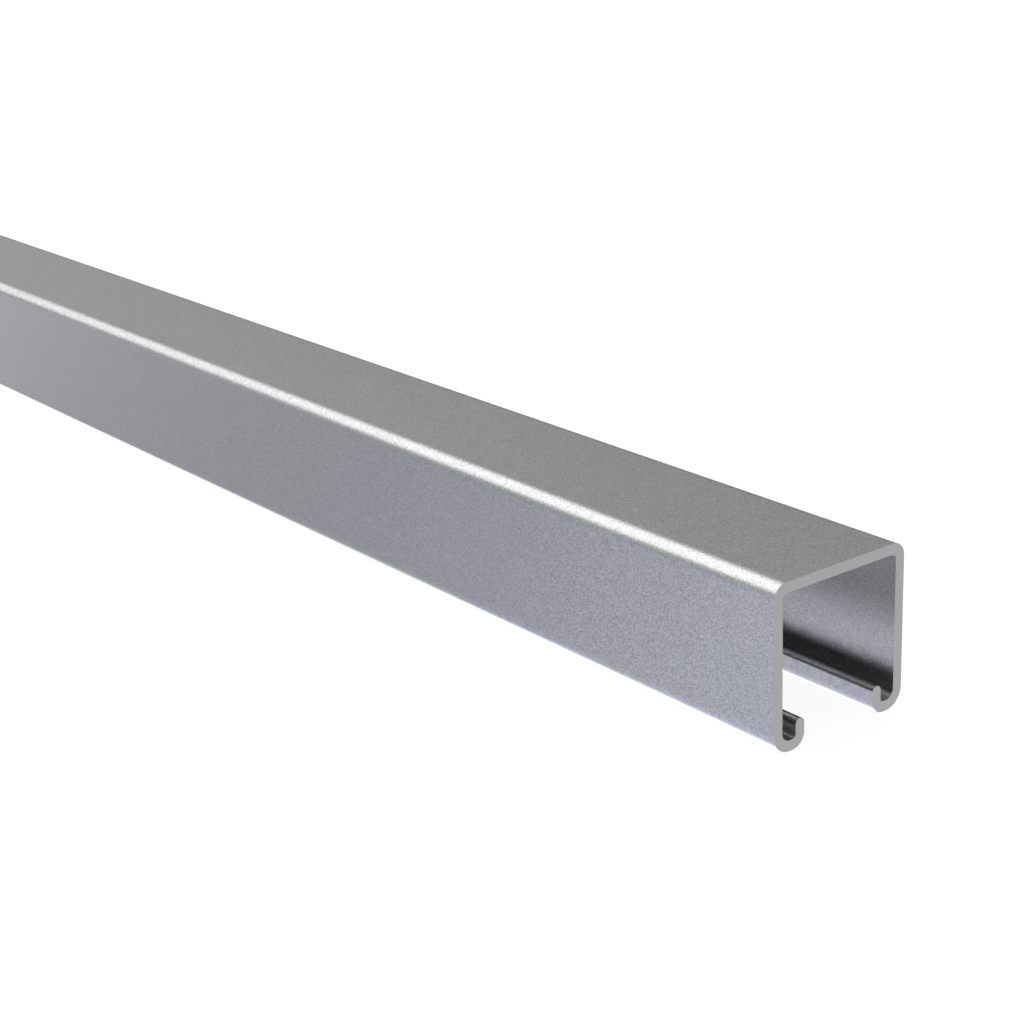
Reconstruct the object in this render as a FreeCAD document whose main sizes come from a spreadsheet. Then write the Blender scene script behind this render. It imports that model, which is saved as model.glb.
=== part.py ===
"""Plain strut channel: one length of roll-formed steel framing stock.

The stock is a flat strip folded by rollers into a square C. The back is on top, a flange hangs
from each of its edges, and each flange turns in at its foot, in a wide bend, and stands up again
as a lip, in a tight one. The slot between the two lips is what a channel nut drops into. The
strip keeps its thickness round every bend, and its two long edges, the noses of the lips, are
rolled to a full round.

Millimetres. X runs along the stock, Y across it and Z up. The origin is at the middle of the
length, half-way between the flanges, on the surface that the feet stand on.
"""

import FreeCAD, Part
import math
import os
import Sketcher

NODE = "strut_channel"

# Driving dimensions: alias of the cell, value, and what it measures
SIZES = [
    ("stock_length", 1000.0, "length that the stock is sold in"),
    ("section_width", 41.3, "across the flanges, outside"),
    ("section_height", 41.3, "from the feet to the top of the back"),
    ("wall", 2.7, "thickness of the strip"),
    ("back_bend_inside", 0.95, "inside radius where the back meets a flange"),
    ("toe_bend_inside", 0.85, "inside radius where a lip stands up, if the lip has room for it"),
    ("lip_width", 9.55, "from the outside of a flange to the slot"),
    ("lip_depth", 7.2, "from the foot to the top of the lip's nose"),
    ("lip_flat", 1.05, "shortest flat that the rollers leave beside a lip's bend"),
]

# Places and radii of the section that follow from them, measured from the origin. The toe is the
# bend where the lip stands up, and the foot's bend takes what the toe and the flat leave of the lip
WORKED_OUT = [
    ("back_bend_outside", "=back_bend_inside + wall"),
    ("nose_z", "=lip_depth - wall / 2"),
    ("toe_outside", "=min(toe_bend_inside + wall; (lip_width - lip_flat) / 2; nose_z - lip_flat)"),
    ("toe_inside", "=toe_outside - wall"),
    ("foot_outside", "=lip_width - lip_flat - toe_outside"),
    ("foot_inside", "=foot_outside - wall"),
    ("flange_outer_y", "=section_width / 2"),
    ("flange_inner_y", "=flange_outer_y - wall"),
    ("slot_face_y", "=flange_outer_y - lip_width"),
    ("lip_back_y", "=slot_face_y + wall"),
    ("under_back_z", "=section_height - wall"),
]

STEEL_KG_PER_MM3 = 7.85e-6

# A sketched element's start, end and centre, and the numbers of the origin and the Y axis
START, END, CENTRE = 1, 2, 3
ORIGIN = FLOOR_LINE = -1


def size_sheet(document):
    """The sheet that every size of the section and the stock is read from."""
    sheet = document.addObject("Spreadsheet::Sheet", "Sizes")
    rows = [(alias, str(value), meaning) for alias, value, meaning in SIZES]
    rows += [(alias, formula, "worked out") for alias, formula in WORKED_OUT]
    for number, (alias, content, meaning) in enumerate(rows, start=1):
        sheet.set(f"A{number}", meaning)
        sheet.set(f"B{number}", content)
        sheet.setAlias(f"B{number}", alias)
    document.recompute()
    return sheet


def line(y_from, z_from, y_to, z_to):
    """A straight stretch of the strip's skin."""
    ends = FreeCAD.Vector(y_from, z_from, 0), FreeCAD.Vector(y_to, z_to, 0)
    return Part.LineSegment(*ends)


def bend(side, y, z, radius, first, last):
    """A round stretch from angle first to last, in degrees, mirrored on the left (side -1)."""
    if side < 0:
        first, last = 180 - last, 180 - first
    centre = FreeCAD.Vector(side * y, z, 0)
    circle = Part.Circle(centre, FreeCAD.Vector(0, 0, 1), radius)
    return Part.ArcOfCircle(circle, math.radians(first), math.radians(last))


def flange_and_lip(side, sheet):
    """The skin of one flange and its lip: down the outside from the back, round the foot and the
    toe, over the lip's nose, through the trough behind it and up the inside to the back again."""
    outer, inner = sheet.flange_outer_y, sheet.flange_inner_y
    slot, lip_back = sheet.slot_face_y, sheet.lip_back_y
    back_out, back_in = sheet.back_bend_outside, sheet.back_bend_inside
    foot_out, foot_in = sheet.foot_outside, sheet.foot_inside
    toe_out, toe_in = sheet.toe_outside, sheet.toe_inside
    corner_y = outer - back_out
    corner_z = sheet.section_height - back_out
    foot_y = outer - foot_out
    toe_y = slot + toe_out
    nose_y = (slot + lip_back) / 2
    return {
        "corner_outer": bend(side, corner_y, corner_z, back_out, 0, 90),
        "flange_outer": line(side * outer, corner_z, side * outer, foot_out),
        "foot_outer": bend(side, foot_y, foot_out, foot_out, 270, 360),
        "foot": line(side * foot_y, 0, side * toe_y, 0),
        "toe_outer": bend(side, toe_y, toe_out, toe_out, 180, 270),
        "slot_face": line(side * slot, toe_out, side * slot, sheet.nose_z),
        "nose": bend(side, nose_y, sheet.nose_z, nose_y - slot, 0, 180),
        "lip_back": line(side * lip_back, sheet.nose_z, side * lip_back, toe_out),
        "toe_inner": bend(side, toe_y, toe_out, toe_in, 180, 270),
        "trough": line(side * toe_y, sheet.wall, side * foot_y, sheet.wall),
        "foot_inner": bend(side, foot_y, foot_out, foot_in, 270, 360),
        "flange_inner": line(side * inner, foot_out, side * inner, corner_z),
        "corner_inner": bend(side, corner_y, corner_z, back_in, 0, 90),
    }


def section_outline(sheet):
    """The whole outline in the order in which it runs: (side, name) of each element, and it."""
    edge_y = sheet.flange_outer_y - sheet.back_bend_outside
    top_z, under_z = sheet.section_height, sheet.under_back_z
    right = [((1, name), element) for name, element in flange_and_lip(1, sheet).items()]
    left = [((-1, name), element) for name, element in flange_and_lip(-1, sheet).items()]
    back_top = ((0, "back_top"), line(-edge_y, top_z, edge_y, top_z))
    back_under = ((0, "back_under"), line(edge_y, under_z, -edge_y, under_z))
    return [back_top, *right, back_under, *reversed(left)]


def meeting_ends(one, other):
    """The end of one element and the end of the next that lie together."""
    gaps = [
        (here.distanceToPoint(there), end, other_end)
        for end, here in ((START, one.StartPoint), (END, one.EndPoint))
        for other_end, there in ((START, other.StartPoint), (END, other.EndPoint))
    ]
    return min(gaps)[1:]


def draw_outline(sketch, sheet):
    """Draws the elements, runs each smoothly into the next and keeps the flats square."""
    outline = section_outline(sheet)
    index = {key: sketch.addGeometry(element, False) for key, element in outline}
    rules = []
    for (key, one), (next_key, other) in zip(outline, outline[1:] + outline[:1]):
        end, other_end = meeting_ends(one, other)
        rules.append(Sketcher.Constraint("Tangent", index[key], end, index[next_key], other_end))
    for key, element in outline:
        if isinstance(element, Part.LineSegment):
            run = element.EndPoint - element.StartPoint
            direction = "Horizontal" if abs(run.x) > abs(run.y) else "Vertical"
            rules.append(Sketcher.Constraint(direction, index[key]))
    sketch.addConstraint(rules)
    return index


def size_outline(sketch, sheet, index):
    """Binds the places and radii of the outline to the sheet."""

    def bind(kind, *geometry, alias):
        value = getattr(sheet, alias)
        number = sketch.addConstraint(Sketcher.Constraint(kind, *geometry, value))
        sketch.setExpression(f"Constraints[{number}]", f"Sizes.{alias}")

    def bind_height(key, end, alias):
        bind("DistanceY", ORIGIN, START, index[key], end, alias=alias)

    bind_height((0, "back_top"), START, "section_height")
    bind_height((0, "back_under"), START, "under_back_z")
    for side in (1, -1):
        for name, alias in (
            ("flange_outer", "flange_outer_y"),
            ("flange_inner", "flange_inner_y"),
            ("slot_face", "slot_face_y"),
            ("lip_back", "lip_back_y"),
        ):
            face, middle = (index[side, name], START), (ORIGIN, START)
            left_to_right = (*middle, *face) if side > 0 else (*face, *middle)
            bind("DistanceX", *left_to_right, alias=alias)
        foot = index[side, "foot"]
        sketch.addConstraint(Sketcher.Constraint("PointOnObject", foot, START, FLOOR_LINE))
        bind_height((side, "trough"), START, "wall")
        bind_height((side, "nose"), CENTRE, "nose_z")
        bind("Radius", index[side, "corner_outer"], alias="back_bend_outside")
        bind("Radius", index[side, "corner_inner"], alias="back_bend_inside")
        for name in ("foot", "toe"):
            bind("Radius", index[side, f"{name}_outer"], alias=f"{name}_outside")
            bind("Radius", index[side, f"{name}_inner"], alias=f"{name}_inside")


def channel_body(document, sheet):
    """The stock: its section, carried along X half of the length each way."""
    body = document.addObject("PartDesign::Body", "StrutChannel")
    body.Label = NODE
    body.Placement = FreeCAD.Placement()

    section = body.newObject("Sketcher::SketchObject", "Section")
    plane = next(plane for plane in body.Origin.OriginFeatures if plane.Role == "YZ_Plane")
    section.AttachmentSupport = [(plane, "")]
    section.MapMode = "FlatFace"
    size_outline(section, sheet, draw_outline(section, sheet))
    document.recompute()

    rolled = body.newObject("PartDesign::Pad", "RolledLength")
    rolled.Profile = section
    rolled.SideType = "Symmetric"
    rolled.setExpression("Length", "Sizes.stock_length")
    body.Tip = rolled
    document.recompute()
    return body


def check(document, body):
    """Stops the build if a feature failed, the section is loose or the solid isn't sound."""
    for item in document.Objects:
        if "Invalid" in item.State or "Error" in item.State:
            raise RuntimeError(f"{item.Label} failed: {item.State}")
    section = document.getObject("Section")
    if not section.FullyConstrained:
        raise RuntimeError("the section has sizes that nothing sets")
    stock = body.Shape
    if stock.isNull() or not stock.isValid() or len(stock.Solids) != 1:
        raise RuntimeError(f"{body.Label} isn't one sound solid")
    area = Part.Face(Part.Wire(section.Shape.Edges)).Area
    length = document.getObject("Sizes").stock_length
    if not math.isclose(stock.Volume, area * length, rel_tol=1e-6):
        raise RuntimeError("the stock's volume isn't its section times its length")
    print(f"section {area:.1f} mm2, length {length:.0f} mm")
    print(f"mass in steel {stock.Volume * STEEL_KG_PER_MM3:.3f} kg")


document = FreeCAD.newDocument("StrutChannel")
channel = channel_body(document, size_sheet(document))
check(document, channel)
os.makedirs("parts", exist_ok=True)
channel.Shape.exportStep(os.path.join("parts", f"{NODE}.step"))
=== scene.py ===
"""Looks of a plain strut channel: one length of galvanised framing stock lying on its lips.

Metres, in the frame of the CAD model: X along the stock, Y across it, Z up from the floor.
"""

import math

import bpy
import numpy as np
from mathutils import Matrix, Vector


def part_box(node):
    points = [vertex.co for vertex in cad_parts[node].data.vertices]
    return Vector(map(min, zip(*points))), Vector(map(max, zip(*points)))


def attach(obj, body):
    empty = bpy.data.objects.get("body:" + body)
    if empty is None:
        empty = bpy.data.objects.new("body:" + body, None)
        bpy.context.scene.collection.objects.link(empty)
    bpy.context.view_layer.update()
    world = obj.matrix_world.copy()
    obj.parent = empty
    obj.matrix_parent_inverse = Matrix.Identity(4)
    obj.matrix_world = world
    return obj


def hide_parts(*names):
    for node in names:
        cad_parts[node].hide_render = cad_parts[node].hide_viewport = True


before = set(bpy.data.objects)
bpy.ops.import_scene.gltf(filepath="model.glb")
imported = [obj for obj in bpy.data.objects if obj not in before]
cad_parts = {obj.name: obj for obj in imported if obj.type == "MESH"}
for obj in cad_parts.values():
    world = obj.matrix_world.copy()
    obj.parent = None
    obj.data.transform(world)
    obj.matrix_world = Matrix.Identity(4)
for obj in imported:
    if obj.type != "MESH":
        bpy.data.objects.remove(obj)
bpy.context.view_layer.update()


# The channel is one flat strip of galvanised steel that rollers have folded into a square C: the
# back on top, a flange at each side, and at the foot of each flange a lip that turns in and
# stands up again. The stock is sawn square to length, which leaves bare, duller ends.

WALL = 0.0027
LIP_WIDTH, LIP_DEPTH = 0.00955, 0.0072
TOE_BEND, FOOT_BEND, BACK_BEND = 0.00355, 0.00495, 0.00365
FLAT_MARGIN = 0.00012
BEND_STEPS, NOSE_STEPS, LENGTH_STEPS = 16, 10, 100


def strip_path(width, height):
    """The middle line of the folded strip in the YZ plane, and its heading at each station.

    It starts at the top of the +Y lip, heading down, and only ever turns left. Each step has a
    length along the line and a turn, which is none on a flat. A bend's length is its middle
    radius times its turn. The step's chord is its length times sin(h) / h, h being half of its
    turn, and points along the heading that lies half-way through the turn. Each flat has a short
    step at both ends, which keeps the smooth shading of the bends off it."""
    start = (width / 2 - LIP_WIDTH + WALL / 2, LIP_DEPTH - WALL / 2)
    lip = start[1] - TOE_BEND
    foot = LIP_WIDTH - TOE_BEND - FOOT_BEND
    flange = height - FOOT_BEND - BACK_BEND
    back = width - 2 * BACK_BEND
    flats = np.array([lip, foot, flange, back, flange, foot, lip])
    bends = np.array([TOE_BEND, FOOT_BEND, BACK_BEND, BACK_BEND, FOOT_BEND, TOE_BEND, TOE_BEND])
    turn_one = math.pi / 2 / BEND_STEPS
    turn = np.tile(np.r_[np.zeros(3), np.full(BEND_STEPS, turn_one)], (7, 1))
    length = (bends - WALL / 2)[:, None] * turn
    length[:, 0] = length[:, 2] = FLAT_MARGIN
    length[:, 1] = flats - 2 * FLAT_MARGIN
    turn = turn.ravel()[:-BEND_STEPS]
    length = length.ravel()[:-BEND_STEPS]
    heading = np.r_[0.0, turn.cumsum()] - math.pi / 2
    half_way = heading[:-1] + turn / 2
    chord = length * np.sinc(turn / 2 / math.pi)
    steps = chord[:, None] * np.stack([np.cos(half_way), np.sin(half_way)], 1)
    return np.vstack([np.zeros(2), steps.cumsum(0)]) + start, heading


def strip_section(width, height):
    """The closed outline of the strip, anticlockwise: its outer skin, then its inner one back.

    Each station of the path carries a rung across the heading, half of a wall to either side.
    Beyond the two ends the rungs run out in a full round: at the angle t from the tip a rung is
    sin t as long, and its middle lies cos t times half of the wall past the end."""
    middle, heading = strip_path(width, height)
    nose = np.linspace(0, math.pi / 2, NOSE_STEPS, endpoint=False)
    angle = np.r_[nose, np.full(len(heading), math.pi / 2), nose[::-1]]
    past = np.cos(angle) * WALL / 2
    past[:NOSE_STEPS] *= -1
    middle = np.pad(middle, ((NOSE_STEPS, NOSE_STEPS), (0, 0)), mode="edge")
    heading = np.pad(heading, NOSE_STEPS, mode="edge")
    along = np.stack([np.cos(heading), np.sin(heading)], 1)
    leftward = np.stack([-along[:, 1], along[:, 0]], 1)
    middle = middle + past[:, None] * along
    rung = (np.sin(angle) * WALL / 2)[:, None] * leftward
    outer, inner = middle - rung, middle + rung
    return np.vstack([outer, inner[-2:0:-1]]), len(outer)


def channel_mesh(name, low, high):
    """The outline carried along X, and a ladder of faces between the two skins at each end."""
    outline, rungs = strip_section(high.y - low.y, high.z - low.z)
    x = np.linspace(low.x, high.x, LENGTH_STEPS + 1)
    points = np.empty((len(x), len(outline), 3))
    points[..., 0] = x[:, None]
    points[..., 1:] = outline
    index = np.arange(len(x) * len(outline)).reshape(len(x), len(outline))
    onward = np.roll(index, -1, axis=1)
    skin = np.stack([index[:-1], onward[:-1], onward[1:], index[1:]], -1).reshape(-1, 4)
    outer = np.arange(rungs)
    inner = -outer % len(outline)
    end = np.stack([outer[:-1], outer[1:], inner[1:], inner[:-1]], -1)
    far_end, near_end = end[:, ::-1], end + index[-1, 0]
    quads = np.vstack([skin, far_end[1:-1], near_end[1:-1]])
    tips = np.vstack([far_end[0, [0, 1, 2]], far_end[-1, [0, 1, 3]],
                      near_end[0, [0, 1, 2]], near_end[-1, [0, 1, 3]]])
    mesh = bpy.data.meshes.new(name)
    mesh.from_pydata(points.reshape(-1, 3).tolist(), [], quads.tolist() + tips.tolist())
    sawn = np.arange(len(mesh.polygons)) >= len(skin)
    mesh.polygons.foreach_set("use_smooth", ~sawn)
    mesh.polygons.foreach_set("material_index", sawn.astype(np.int32))
    ends = np.empty(len(mesh.edges) * 2, np.int32)
    mesh.edges.foreach_get("vertices", ends)
    station = (ends // len(outline)).reshape(-1, 2)
    on_end = np.isin(station, (0, LENGTH_STEPS)).all(1) & (station[:, 0] == station[:, 1])
    mesh.edges.foreach_set("use_edge_sharp", on_end)
    mesh.update()
    return mesh


def add_node(tree, kind, inputs=(), **settings):
    """A node of that kind, its settings, and a value or another node's output for each input."""
    node = tree.nodes.new(kind)
    for setting, value in settings.items():
        setattr(node, setting, value)
    for socket, value in dict(inputs).items():
        if isinstance(value, bpy.types.NodeSocket):
            tree.links.new(value, node.inputs[socket])
        else:
            node.inputs[socket].default_value = value
    return node


def new_material(name):
    """An empty material and its tree."""
    material = bpy.data.materials.new(name)
    material.use_nodes = True
    material.node_tree.nodes.clear()
    return material, material.node_tree


def grain(tree, size, detail=2.0, roughness=0.5):
    """Even noise on Object coordinates, whose bumps are about size across, in metres."""
    place = add_node(tree, "ShaderNodeTexCoord").outputs["Object"]
    noise = add_node(tree, "ShaderNodeTexNoise", {
        "Vector": place, "Scale": 0.8 / size, "Detail": detail, "Roughness": roughness})
    return noise.outputs["Fac"]


def spread(tree, value, low, high):
    """Noise, which keeps to the middle of 0 to 1, stretched to run from low to high."""
    return add_node(tree, "ShaderNodeMapRange", {
        "Value": value, "From Min": 0.25, "From Max": 0.75, "To Min": low, "To Max": high,
    }).outputs["Result"]


def blend(tree, share, one, other):
    """A colour that goes from one to the other as the share goes from 0 to 1."""
    return add_node(tree, "ShaderNodeMix", {
        "Factor": share, 6: one, 7: other}, data_type="RGBA").outputs[2]


CRYSTAL, CRYSTAL_TILT = 0.00022, 0.08
ZINC_DARK, ZINC_PALE = (0.38, 0.38, 0.38, 1.0), (0.62, 0.62, 0.62, 1.0)
ZINC_CLOUD = 0.012
ZINC_ROUGHNESS = (0.31, 0.33)


def galvanised_finish():
    """Satin zinc: fine crystals, each a facet with a small tilt and a shade of its own."""
    material, tree = new_material("galvanised_zinc")
    place = add_node(tree, "ShaderNodeTexCoord").outputs["Object"]
    crystals = add_node(tree, "ShaderNodeTexVoronoi", {"Vector": place, "Scale": 1 / CRYSTAL})
    own = add_node(tree, "ShaderNodeVectorMath", {
        0: crystals.outputs["Color"], 1: (0.5, 0.5, 0.5)}, operation="SUBTRACT")
    skin = add_node(tree, "ShaderNodeNewGeometry").outputs["Normal"]
    facet = add_node(tree, "ShaderNodeVectorMath", {
        0: own.outputs["Vector"], 1: (CRYSTAL_TILT,) * 3, 2: skin}, operation="MULTIPLY_ADD")
    facet = add_node(tree, "ShaderNodeVectorMath", {0: facet.outputs["Vector"]}, operation="NORMALIZE")
    number = add_node(tree, "ShaderNodeSeparateColor", {"Color": crystals.outputs["Color"]})
    shade = blend(tree, number.outputs["Red"], ZINC_DARK, ZINC_PALE)
    clouds = grain(tree, ZINC_CLOUD, detail=3.0)
    zinc = add_node(tree, "ShaderNodeBsdfPrincipled", {
        "Base Color": shade, "Metallic": 1.0,
        "Roughness": spread(tree, clouds, *ZINC_ROUGHNESS), "Normal": facet.outputs["Vector"]})
    add_node(tree, "ShaderNodeOutputMaterial", {"Surface": zinc.outputs["BSDF"]})
    return material


SAWN_STEEL = (0.5, 0.5, 0.5, 1.0)
SAWN_SHINE = 0.5
TOOTH_MARK, TOOTH_DEPTH = 0.0004, 0.00002
SAWN_ROUGHNESS = (0.58, 0.64)


def sawn_finish():
    """The sawn end: bare steel, dull and even, with a trace of the saw's fine tooth marks."""
    material, tree = new_material("sawn_steel")
    marks = grain(tree, TOOTH_MARK)
    skin = add_node(tree, "ShaderNodeBump", {
        "Height": marks, "Strength": 1.0, "Distance": TOOTH_DEPTH})
    steel = add_node(tree, "ShaderNodeBsdfPrincipled", {
        "Base Color": SAWN_STEEL, "Metallic": SAWN_SHINE,
        "Roughness": spread(tree, marks, *SAWN_ROUGHNESS), "Normal": skin.outputs["Normal"]})
    add_node(tree, "ShaderNodeOutputMaterial", {"Surface": steel.outputs["BSDF"]})
    return material


low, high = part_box("strut_channel")
channel = bpy.data.objects.new("rolled_channel", channel_mesh("rolled_channel", low, high))
bpy.context.collection.objects.link(channel)
channel.data.materials.append(galvanised_finish())
channel.data.materials.append(sawn_finish())
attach(channel, "root")
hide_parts("strut_channel")


# The floor is a clear sheet over a white sweep. To the eye it is white and takes the channel's
# faint shadow. The steel looks through it, into the lower half of the studio.

FLOOR_HALF = 6.0
FLOOR_WHITE = (0.80, 0.80, 0.80, 1.0)
FLOOR_GLOW = 1.13
SHADOW_SHARE = 0.2

floor_mesh = bpy.data.meshes.new("floor")
corners = FLOOR_HALF * np.array([[-1, -1, 0], [1, -1, 0], [1, 1, 0], [-1, 1, 0]])
floor_mesh.from_pydata(corners.tolist(), [], [[0, 1, 2, 3]])
floor = bpy.data.objects.new("floor", floor_mesh)
bpy.context.collection.objects.link(floor)


def seen_straight(tree):
    """1 for what the camera sees directly or through a clear piece, 0 for what lights others."""
    path = add_node(tree, "ShaderNodeLightPath").outputs
    return add_node(tree, "ShaderNodeMath", {
        0: path["Is Camera Ray"], 1: path["Is Transmission Ray"]}, operation="MAXIMUM").outputs["Value"]


white, tree = new_material("white_sweep")
paper = add_node(tree, "ShaderNodeBsdfDiffuse", {"Color": FLOOR_WHITE}).outputs["BSDF"]
plain = add_node(tree, "ShaderNodeEmission", {"Strength": FLOOR_GLOW}).outputs["Emission"]
sweep = add_node(tree, "ShaderNodeMixShader", {0: 1 - SHADOW_SHARE, 1: paper, 2: plain})
clear = add_node(tree, "ShaderNodeBsdfTransparent").outputs["BSDF"]
sheet = add_node(tree, "ShaderNodeMixShader", {
    0: seen_straight(tree), 1: clear, 2: sweep.outputs["Shader"]})
add_node(tree, "ShaderNodeOutputMaterial", {"Surface": sheet.outputs["Shader"]})
white.cycles.emission_sampling = "NONE"
floor_mesh.materials.append(white)


# The studio: a long soft box over the stock, in a room that is brighter overhead and in front,
# draws the highlight down the back's rounded edge. Below the sheet the studio is plain, cool, dim
# and then bright down the stock, and a broad low light shines up from behind into the open side.

ROOM_LEVEL, ROOM_LEAST = 0.19, 0.18
ROOM_SLOPE = (-0.10, -0.29, 0.92)
FRONT_PLAIN = (0.80, 0.80, 0.80, 1.0)
NEAR_COOL = (0.88, 0.90, 1.09, 1.0)
DIM_STRETCH = (0.40, 0.41, 0.44, 1.0)
FAR_BRIGHT = (1.9, 1.9, 1.95, 1.0)
FRONT_EDGE, NEAR_EDGE, FAR_EDGE = (-0.5, 0.0), (-0.76, -0.63), (-0.87, -1.0)
BELOW_LEVEL = 0.91
BELOW_SLOPE = (0.0, 0.07, -0.33)
LOW_LIGHT = 2.1
LOW_AZIMUTH, LOW_DEPTH = math.radians(115), math.radians(49)
LOW_EDGE = (0.67, 0.98)


def crossing(tree, value, edge, height=1.0):
    """A soft rise from 0 to the height as the value crosses the edge's first number to its last."""
    return add_node(tree, "ShaderNodeMapRange", {
        "Value": value, "From Min": edge[0], "From Max": edge[1], "To Max": height,
    }, interpolation_type="SMOOTHSTEP").outputs["Result"]


def facing(tree, direction, way):
    """How far a direction points along the given way."""
    return add_node(tree, "ShaderNodeVectorMath", {
        0: direction, 1: way}, operation="DOT_PRODUCT").outputs["Value"]


def maths(tree, operation, one, other):
    """The result of an operation on two values."""
    return add_node(tree, "ShaderNodeMath", {0: one, 1: other}, operation=operation).outputs["Value"]


world = bpy.data.worlds.new("studio")
bpy.context.scene.world = world
world.use_nodes = True
tree = world.node_tree
tree.nodes.clear()
towards = add_node(tree, "ShaderNodeTexCoord").outputs["Generated"]
axes = add_node(tree, "ShaderNodeSeparateXYZ", {"Vector": towards}).outputs
above = maths(tree, "ADD", facing(tree, towards, ROOM_SLOPE), ROOM_LEVEL)
above = maths(tree, "MAXIMUM", above, ROOM_LEAST)
depth = maths(tree, "ADD", facing(tree, towards, BELOW_SLOPE), BELOW_LEVEL)
low_light = (math.cos(LOW_DEPTH) * math.cos(LOW_AZIMUTH),
             math.cos(LOW_DEPTH) * math.sin(LOW_AZIMUTH),
             -math.sin(LOW_DEPTH))
shine = crossing(tree, facing(tree, towards, low_light), LOW_EDGE, LOW_LIGHT)
tint = blend(tree, crossing(tree, axes["X"], FAR_EDGE), DIM_STRETCH, FAR_BRIGHT)
tint = blend(tree, crossing(tree, axes["X"], NEAR_EDGE), tint, NEAR_COOL)
tint = blend(tree, crossing(tree, axes["X"], FRONT_EDGE), tint, FRONT_PLAIN)
below = add_node(tree, "ShaderNodeVectorMath", {
    0: tint, 1: depth, 2: shine}, operation="MULTIPLY_ADD").outputs["Vector"]
around = blend(tree, maths(tree, "LESS_THAN", axes["Z"], 0.0), above, below)
room = add_node(tree, "ShaderNodeBackground", {"Color": around, "Strength": 1.0})
backdrop = add_node(tree, "ShaderNodeBackground", {"Color": (1, 1, 1, 1), "Strength": 1.0})
shown = add_node(tree, "ShaderNodeMixShader", {
    0: seen_straight(tree), 1: room.outputs["Background"], 2: backdrop.outputs["Background"]})
add_node(tree, "ShaderNodeOutputWorld", {"Surface": shown.outputs["Shader"]})

BOX_AHEAD, BOX_TILT = math.radians(14.7), math.radians(21.1)
BOX_X, BOX_HEIGHT = -1.212, 0.77
BOX_LONG, BOX_WIDE = 2.81, 1.30
BOX_SPREAD = math.radians(155.7)
BOX_RADIANCE = 1.029
AIMED_HEIGHT = 0.02

soft_box = bpy.data.lights.new("soft_box", "AREA")
soft_box.shape = "RECTANGLE"
soft_box.size, soft_box.size_y = BOX_LONG, BOX_WIDE
soft_box.spread = BOX_SPREAD
soft_box.energy = BOX_RADIANCE * BOX_WIDE * BOX_LONG * math.pi
soft_box_lamp = bpy.data.objects.new("soft_box", soft_box)
bpy.context.collection.objects.link(soft_box_lamp)
soft_box_lamp.location = (BOX_X,
                          -BOX_HEIGHT * math.sin(BOX_AHEAD),
                          AIMED_HEIGHT + BOX_HEIGHT * math.cos(BOX_AHEAD))
soft_box_lamp.rotation_euler = (BOX_TILT, 0, 0)


# The camera stands in front of the sawn end and to its left, a little above the stock.

CAMERA_PLACE = Vector((0.79941, -0.31443, 0.21155))
CAMERA_AZIMUTH, CAMERA_ELEVATION, CAMERA_ROLL = (math.radians(a) for a in (53.218, 19.9002, -2.4929))
CAMERA_LENS, SENSOR_WIDTH = 72.8303, 36.0
NEAREST, FARTHEST = 0.02, 50.0

camera_data = bpy.data.cameras.new("camera")
camera_data.sensor_width = SENSOR_WIDTH
camera_data.lens = CAMERA_LENS
camera_data.clip_start, camera_data.clip_end = NEAREST, FARTHEST
camera = bpy.data.objects.new("camera", camera_data)
bpy.context.collection.objects.link(camera)
backward = Vector((math.sin(CAMERA_AZIMUTH) * math.cos(CAMERA_ELEVATION),
                   -math.cos(CAMERA_AZIMUTH) * math.cos(CAMERA_ELEVATION),
                   math.sin(CAMERA_ELEVATION)))
level = Vector((0, 0, 1)).cross(backward).normalized()
upright = backward.cross(level)
right = math.cos(CAMERA_ROLL) * level + math.sin(CAMERA_ROLL) * upright
up = math.cos(CAMERA_ROLL) * upright - math.sin(CAMERA_ROLL) * level
turned = Matrix([right, up, backward]).transposed().to_4x4()
camera.matrix_world = Matrix.Translation(CAMERA_PLACE) @ turned
bpy.context.scene.camera = camera

bpy.context.scene.view_settings.view_transform = "Standard"
